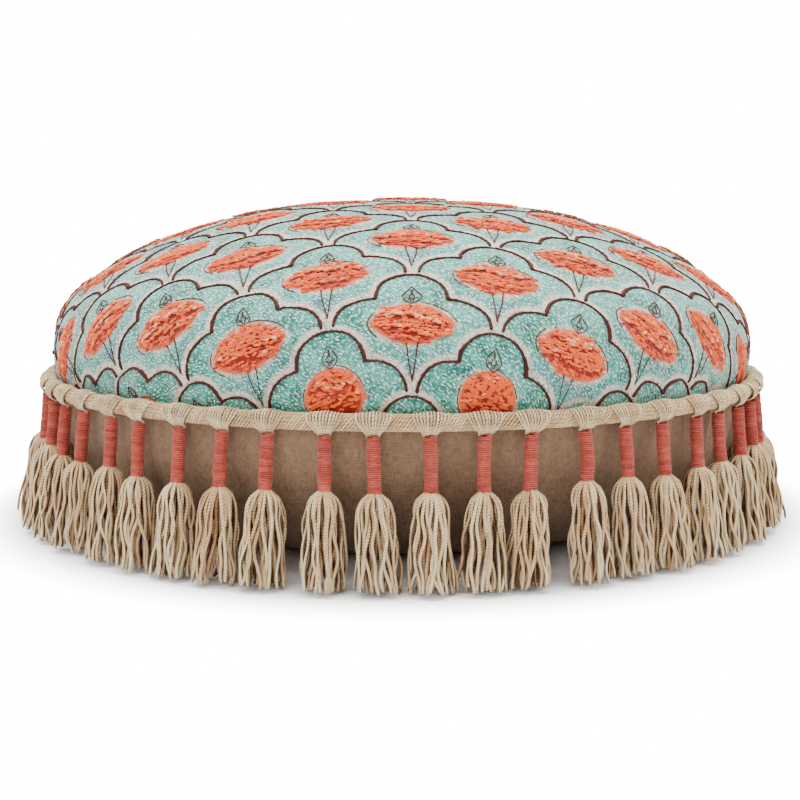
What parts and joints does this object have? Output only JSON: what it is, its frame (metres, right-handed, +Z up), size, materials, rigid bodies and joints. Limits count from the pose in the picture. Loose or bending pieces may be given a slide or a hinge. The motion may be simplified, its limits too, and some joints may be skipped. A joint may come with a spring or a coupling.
{
  "type": "floor cushion",
  "caption": "Round domed floor cushion with an embroidered top panel, a twisted rope round its girth seam, hanging tassels and a plain base.",
  "frame": {"origin": "on the floor, under the centre of the cushion's round outline", "axes": "+Z up through the crown of the dome; the zip is at the back, centred on +Y; +X is to the right of someone facing +Y"},
  "size_m": [0.635, 0.635, 0.2565],
  "materials": {
    "embroidered_cotton": "woven and embroidered, matt",
    "plain_cotton": "plain weave, matt",
    "muslin": "plain weave, matt",
    "fibre_filling": "loose fibre, matt",
    "cotton_rope": "twisted yarn, matt",
    "tassel_yarn": "twisted yarn, matt",
    "tassel_binding": "wound yarn, soft sheen",
    "zip_tape": "woven tape, matt",
    "zip_metal": "tumbled, satin"
  },
  "bodies": {
    "cushion": {"top_panel": "embroidered_cotton", "bottom_panel": "plain_cotton", "inner_liner": "muslin", "filling": "fibre_filling", "girth_rope": "cotton_rope", "zip_tape": "zip_tape"},
    "tassel_01": {"tassel_01": "tassel_yarn"},
    "tassel_02": {"tassel_02": "tassel_yarn"},
    "tassel_03": {"tassel_03": "tassel_yarn"},
    "tassel_04": {"tassel_04": "tassel_yarn"},
    "tassel_05": {"tassel_05": "tassel_yarn"},
    "tassel_06": {"tassel_06": "tassel_yarn"},
    "tassel_07": {"tassel_07": "tassel_yarn"},
    "tassel_08": {"tassel_08": "tassel_yarn"},
    "tassel_09": {"tassel_09": "tassel_yarn"},
    "tassel_10": {"tassel_10": "tassel_yarn"},
    "tassel_11": {"tassel_11": "tassel_yarn"},
    "tassel_12": {"tassel_12": "tassel_yarn"},
    "tassel_13": {"tassel_13": "tassel_yarn"},
    "tassel_14": {"tassel_14": "tassel_yarn"},
    "tassel_15": {"tassel_15": "tassel_yarn"},
    "tassel_16": {"tassel_16": "tassel_yarn"},
    "tassel_17": {"tassel_17": "tassel_yarn"},
    "tassel_18": {"tassel_18": "tassel_yarn"},
    "tassel_19": {"tassel_19": "tassel_yarn"},
    "tassel_20": {"tassel_20": "tassel_yarn"},
    "tassel_21": {"tassel_21": "tassel_yarn"},
    "tassel_22": {"tassel_22": "tassel_yarn"},
    "tassel_23": {"tassel_23": "tassel_yarn"},
    "tassel_24": {"tassel_24": "tassel_yarn"},
    "tassel_25": {"tassel_25": "tassel_yarn"},
    "tassel_26": {"tassel_26": "tassel_yarn"},
    "tassel_27": {"tassel_27": "tassel_yarn"},
    "tassel_28": {"tassel_28": "tassel_yarn"},
    "tassel_29": {"tassel_29": "tassel_yarn"},
    "tassel_30": {"tassel_30": "tassel_yarn"},
    "tassel_31": {"tassel_31": "tassel_yarn"},
    "tassel_32": {"tassel_32": "tassel_yarn"},
    "tassel_33": {"tassel_33": "tassel_yarn"},
    "tassel_34": {"tassel_34": "tassel_yarn"},
    "tassel_35": {"tassel_35": "tassel_yarn"},
    "tassel_36": {"tassel_36": "tassel_yarn"},
    "tassel_37": {"tassel_37": "tassel_yarn"},
    "tassel_38": {"tassel_38": "tassel_yarn"},
    "tassel_39": {"tassel_39": "tassel_yarn"},
    "tassel_40": {"tassel_40": "tassel_yarn"},
    "tassel_41": {"tassel_41": "tassel_yarn"},
    "tassel_42": {"tassel_42": "tassel_yarn"},
    "tassel_43": {"tassel_43": "tassel_yarn"},
    "tassel_44": {"tassel_44": "tassel_yarn"},
    "tassel_45": {"tassel_45": "tassel_yarn"},
    "tassel_46": {"tassel_46": "tassel_yarn"},
    "tassel_47": {"tassel_47": "tassel_yarn"},
    "tassel_48": {"tassel_48": "tassel_yarn"},
    "tassel_49": {"tassel_49": "tassel_yarn"},
    "tassel_50": {"tassel_50": "tassel_yarn"},
    "tassel_51": {"tassel_51": "tassel_yarn"},
    "tassel_52": {"tassel_52": "tassel_yarn"},
    "zip_slider": {"zip_slider": "zip_metal"},
    "zip_pull": {"zip_pull": "zip_metal"}
  },
  "joints": [
    {"name": "zip_slider_travel", "type": "hinge", "parent": "cushion", "child": "zip_slider", "pos_m": [0, 0, 0.02573], "axis": [0, 0, 1], "range_deg": [0, 78]},
    {"name": "zip_pull_swing", "type": "hinge", "parent": "zip_slider", "child": "zip_pull", "pos_m": [0.16259, 0.20078, 0.02573], "axis": [0.4195, 0.518, 0.7454], "range_deg": [-85, 85]},
    {"name": "tassel_01_swing", "type": "hinge", "parent": "cushion", "child": "tassel_01", "pos_m": [0.29127, 0.01762, 0.111], "axis": [0.0604, -0.9982, 0], "range_deg": [0, 160]},
    {"name": "tassel_02_swing", "type": "hinge", "parent": "cushion", "child": "tassel_02", "pos_m": [0.28677, 0.05393, 0.111], "axis": [0.1848, -0.9828, 0], "range_deg": [0, 160]},
    {"name": "tassel_03_swing", "type": "hinge", "parent": "cushion", "child": "tassel_03", "pos_m": [0.27918, 0.08488, 0.111], "axis": [0.2909, -0.9568, 0], "range_deg": [0, 160]},
    {"name": "tassel_04_swing", "type": "hinge", "parent": "cushion", "child": "tassel_04", "pos_m": [0.2654, 0.12129, 0.111], "axis": [0.4156, -0.9095, 0], "range_deg": [0, 160]},
    {"name": "tassel_05_swing", "type": "hinge", "parent": "cushion", "child": "tassel_05", "pos_m": [0.24997, 0.15054, 0.111], "axis": [0.5159, -0.8566, 0], "range_deg": [0, 160]},
    {"name": "tassel_06_swing", "type": "hinge", "parent": "cushion", "child": "tassel_06", "pos_m": [0.23028, 0.17921, 0.111], "axis": [0.6142, -0.7892, 0], "range_deg": [0, 160]},
    {"name": "tassel_07_swing", "type": "hinge", "parent": "cushion", "child": "tassel_07", "pos_m": [0.20498, 0.20768, 0.111], "axis": [0.7117, -0.7025, 0], "range_deg": [0, 160]},
    {"name": "tassel_08_swing", "type": "hinge", "parent": "cushion", "child": "tassel_08", "pos_m": [0.18145, 0.22852, 0.111], "axis": [0.7831, -0.6218, 0], "range_deg": [0, 160]},
    {"name": "tassel_09_swing", "type": "hinge", "parent": "cushion", "child": "tassel_09", "pos_m": [0.15015, 0.25021, 0.111], "axis": [0.8575, -0.5146, 0], "range_deg": [0, 160]},
    {"name": "tassel_10_swing", "type": "hinge", "parent": "cushion", "child": "tassel_10", "pos_m": [0.11931, 0.26629, 0.111], "axis": [0.9126, -0.4089, 0], "range_deg": [0, 160]},
    {"name": "tassel_11_swing", "type": "hinge", "parent": "cushion", "child": "tassel_11", "pos_m": [0.08841, 0.27808, 0.111], "axis": [0.953, -0.303, 0], "range_deg": [0, 160]},
    {"name": "tassel_12_swing", "type": "hinge", "parent": "cushion", "child": "tassel_12", "pos_m": [0.05061, 0.28738, 0.111], "axis": [0.9848, -0.1734, 0], "range_deg": [0, 160]},
    {"name": "tassel_13_swing", "type": "hinge", "parent": "cushion", "child": "tassel_13", "pos_m": [0.01897, 0.29118, 0.111], "axis": [0.9979, -0.065, 0], "range_deg": [0, 160]},
    {"name": "tassel_14_swing", "type": "hinge", "parent": "cushion", "child": "tassel_14", "pos_m": [-0.01762, 0.29127, 0.111], "axis": [0.9982, 0.0604, 0], "range_deg": [0, 160]},
    {"name": "tassel_15_swing", "type": "hinge", "parent": "cushion", "child": "tassel_15", "pos_m": [-0.05393, 0.28677, 0.111], "axis": [0.9828, 0.1848, 0], "range_deg": [0, 160]},
    {"name": "tassel_16_swing", "type": "hinge", "parent": "cushion", "child": "tassel_16", "pos_m": [-0.08488, 0.27918, 0.111], "axis": [0.9568, 0.2909, 0], "range_deg": [0, 160]},
    {"name": "tassel_17_swing", "type": "hinge", "parent": "cushion", "child": "tassel_17", "pos_m": [-0.12129, 0.2654, 0.111], "axis": [0.9095, 0.4156, 0], "range_deg": [0, 160]},
    {"name": "tassel_18_swing", "type": "hinge", "parent": "cushion", "child": "tassel_18", "pos_m": [-0.15054, 0.24997, 0.111], "axis": [0.8566, 0.5159, 0], "range_deg": [0, 160]},
    {"name": "tassel_19_swing", "type": "hinge", "parent": "cushion", "child": "tassel_19", "pos_m": [-0.17921, 0.23028, 0.111], "axis": [0.7892, 0.6142, 0], "range_deg": [0, 160]},
    {"name": "tassel_20_swing", "type": "hinge", "parent": "cushion", "child": "tassel_20", "pos_m": [-0.20768, 0.20498, 0.111], "axis": [0.7025, 0.7117, 0], "range_deg": [0, 160]},
    {"name": "tassel_21_swing", "type": "hinge", "parent": "cushion", "child": "tassel_21", "pos_m": [-0.22852, 0.18145, 0.111], "axis": [0.6218, 0.7831, 0], "range_deg": [0, 160]},
    {"name": "tassel_22_swing", "type": "hinge", "parent": "cushion", "child": "tassel_22", "pos_m": [-0.25021, 0.15015, 0.111], "axis": [0.5146, 0.8575, 0], "range_deg": [0, 160]},
    {"name": "tassel_23_swing", "type": "hinge", "parent": "cushion", "child": "tassel_23", "pos_m": [-0.26629, 0.11931, 0.111], "axis": [0.4089, 0.9126, 0], "range_deg": [0, 160]},
    {"name": "tassel_24_swing", "type": "hinge", "parent": "cushion", "child": "tassel_24", "pos_m": [-0.27808, 0.08841, 0.111], "axis": [0.303, 0.953, 0], "range_deg": [0, 160]},
    {"name": "tassel_25_swing", "type": "hinge", "parent": "cushion", "child": "tassel_25", "pos_m": [-0.28738, 0.05061, 0.111], "axis": [0.1734, 0.9848, 0], "range_deg": [0, 160]},
    {"name": "tassel_26_swing", "type": "hinge", "parent": "cushion", "child": "tassel_26", "pos_m": [-0.29118, 0.01897, 0.111], "axis": [0.065, 0.9979, 0], "range_deg": [0, 160]},
    {"name": "tassel_27_swing", "type": "hinge", "parent": "cushion", "child": "tassel_27", "pos_m": [-0.29127, -0.01762, 0.111], "axis": [-0.0604, 0.9982, 0], "range_deg": [0, 160]},
    {"name": "tassel_28_swing", "type": "hinge", "parent": "cushion", "child": "tassel_28", "pos_m": [-0.28677, -0.05393, 0.111], "axis": [-0.1848, 0.9828, 0], "range_deg": [0, 160]},
    {"name": "tassel_29_swing", "type": "hinge", "parent": "cushion", "child": "tassel_29", "pos_m": [-0.27918, -0.08488, 0.111], "axis": [-0.2909, 0.9568, 0], "range_deg": [0, 160]},
    {"name": "tassel_30_swing", "type": "hinge", "parent": "cushion", "child": "tassel_30", "pos_m": [-0.2654, -0.12129, 0.111], "axis": [-0.4156, 0.9095, 0], "range_deg": [0, 160]},
    {"name": "tassel_31_swing", "type": "hinge", "parent": "cushion", "child": "tassel_31", "pos_m": [-0.24997, -0.15054, 0.111], "axis": [-0.5159, 0.8566, 0], "range_deg": [0, 160]},
    {"name": "tassel_32_swing", "type": "hinge", "parent": "cushion", "child": "tassel_32", "pos_m": [-0.23028, -0.17921, 0.111], "axis": [-0.6142, 0.7892, 0], "range_deg": [0, 160]},
    {"name": "tassel_33_swing", "type": "hinge", "parent": "cushion", "child": "tassel_33", "pos_m": [-0.20498, -0.20768, 0.111], "axis": [-0.7117, 0.7025, 0], "range_deg": [0, 160]},
    {"name": "tassel_34_swing", "type": "hinge", "parent": "cushion", "child": "tassel_34", "pos_m": [-0.18145, -0.22852, 0.111], "axis": [-0.7831, 0.6218, 0], "range_deg": [0, 160]},
    {"name": "tassel_35_swing", "type": "hinge", "parent": "cushion", "child": "tassel_35", "pos_m": [-0.15015, -0.25021, 0.111], "axis": [-0.8575, 0.5146, 0], "range_deg": [0, 160]},
    {"name": "tassel_36_swing", "type": "hinge", "parent": "cushion", "child": "tassel_36", "pos_m": [-0.11931, -0.26629, 0.111], "axis": [-0.9126, 0.4089, 0], "range_deg": [0, 160]},
    {"name": "tassel_37_swing", "type": "hinge", "parent": "cushion", "child": "tassel_37", "pos_m": [-0.08841, -0.27808, 0.111], "axis": [-0.953, 0.303, 0], "range_deg": [0, 160]},
    {"name": "tassel_38_swing", "type": "hinge", "parent": "cushion", "child": "tassel_38", "pos_m": [-0.05061, -0.28738, 0.111], "axis": [-0.9848, 0.1734, 0], "range_deg": [0, 160]},
    {"name": "tassel_39_swing", "type": "hinge", "parent": "cushion", "child": "tassel_39", "pos_m": [-0.01897, -0.29118, 0.111], "axis": [-0.9979, 0.065, 0], "range_deg": [0, 160]},
    {"name": "tassel_40_swing", "type": "hinge", "parent": "cushion", "child": "tassel_40", "pos_m": [0.01762, -0.29127, 0.111], "axis": [-0.9982, -0.0604, 0], "range_deg": [0, 160]},
    {"name": "tassel_41_swing", "type": "hinge", "parent": "cushion", "child": "tassel_41", "pos_m": [0.05393, -0.28677, 0.111], "axis": [-0.9828, -0.1848, 0], "range_deg": [0, 160]},
    {"name": "tassel_42_swing", "type": "hinge", "parent": "cushion", "child": "tassel_42", "pos_m": [0.08488, -0.27918, 0.111], "axis": [-0.9568, -0.2909, 0], "range_deg": [0, 160]},
    {"name": "tassel_43_swing", "type": "hinge", "parent": "cushion", "child": "tassel_43", "pos_m": [0.12129, -0.2654, 0.111], "axis": [-0.9095, -0.4156, 0], "range_deg": [0, 160]},
    {"name": "tassel_44_swing", "type": "hinge", "parent": "cushion", "child": "tassel_44", "pos_m": [0.15054, -0.24997, 0.111], "axis": [-0.8566, -0.5159, 0], "range_deg": [0, 160]},
    {"name": "tassel_45_swing", "type": "hinge", "parent": "cushion", "child": "tassel_45", "pos_m": [0.17921, -0.23028, 0.111], "axis": [-0.7892, -0.6142, 0], "range_deg": [0, 160]},
    {"name": "tassel_46_swing", "type": "hinge", "parent": "cushion", "child": "tassel_46", "pos_m": [0.20768, -0.20498, 0.111], "axis": [-0.7025, -0.7117, 0], "range_deg": [0, 160]},
    {"name": "tassel_47_swing", "type": "hinge", "parent": "cushion", "child": "tassel_47", "pos_m": [0.22852, -0.18145, 0.111], "axis": [-0.6218, -0.7831, 0], "range_deg": [0, 160]},
    {"name": "tassel_48_swing", "type": "hinge", "parent": "cushion", "child": "tassel_48", "pos_m": [0.25021, -0.15015, 0.111], "axis": [-0.5146, -0.8575, 0], "range_deg": [0, 160]},
    {"name": "tassel_49_swing", "type": "hinge", "parent": "cushion", "child": "tassel_49", "pos_m": [0.26629, -0.11931, 0.111], "axis": [-0.4089, -0.9126, 0], "range_deg": [0, 160]},
    {"name": "tassel_50_swing", "type": "hinge", "parent": "cushion", "child": "tassel_50", "pos_m": [0.27808, -0.08841, 0.111], "axis": [-0.303, -0.953, 0], "range_deg": [0, 160]},
    {"name": "tassel_51_swing", "type": "hinge", "parent": "cushion", "child": "tassel_51", "pos_m": [0.28738, -0.05061, 0.111], "axis": [-0.1734, -0.9848, 0], "range_deg": [0, 160]},
    {"name": "tassel_52_swing", "type": "hinge", "parent": "cushion", "child": "tassel_52", "pos_m": [0.29118, -0.01897, 0.111], "axis": [-0.065, -0.9979, 0], "range_deg": [0, 160]}
  ]
}
